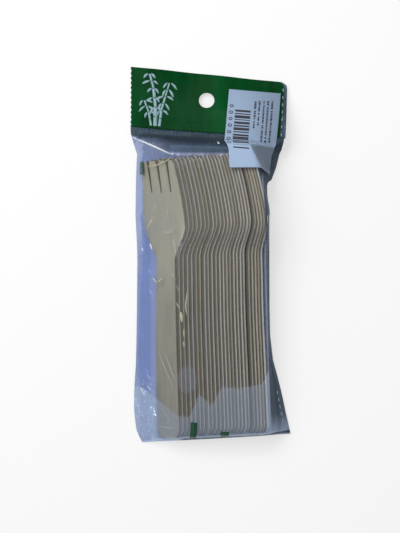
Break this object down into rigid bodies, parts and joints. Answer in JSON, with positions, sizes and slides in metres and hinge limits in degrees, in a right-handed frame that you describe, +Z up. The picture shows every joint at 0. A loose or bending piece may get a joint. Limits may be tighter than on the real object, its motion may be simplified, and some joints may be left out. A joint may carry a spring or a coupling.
{
  "type": "wooden cutlery pack",
  "caption": "Fanned stack of flat wooden forks in a clear film bag with a printed header strip, a round hang hole and a paper label.",
  "frame": {"origin": "centre of the pack's outline at the height of the table under its back", "axes": "+X to the right across the pack, +Y towards the header, +Z up out of the table, with the pack lying on its back"},
  "size_m": [0.0934, 0.2192, 0.0305],
  "materials": {
    "wood": "raw birch veneer",
    "film": "clear glossy film",
    "header_green": "glossy print on film",
    "label_paper": "matt coated paper",
    "label_ink": "thermal print",
    "plant_print": "glossy print on film",
    "mark_green": "glossy print on film"
  },
  "bodies": {
    "root": {"barcode_print": "label_ink", "film_bag": "film", "fork_01": "wood", "fork_02": "wood", "fork_03": "wood", "fork_04": "wood", "fork_05": "wood", "fork_06": "wood", "fork_07": "wood", "fork_08": "wood", "fork_09": "wood", "fork_10": "wood", "fork_11": "wood", "fork_12": "wood", "fork_13": "wood", "fork_14": "wood", "fork_15": "wood", "fork_16": "wood", "fork_17": "wood", "fork_18": "wood", "fork_19": "wood", "fork_20": "wood", "fork_21": "wood", "fork_22": "wood", "fork_23": "wood", "fork_24": "wood", "header_strip": "header_green", "label": "label_paper", "mark_bottom_1": "mark_green", "mark_bottom_2": "mark_green", "mark_left": "mark_green", "plant_print": "plant_print"}
  },
  "joints": []
}
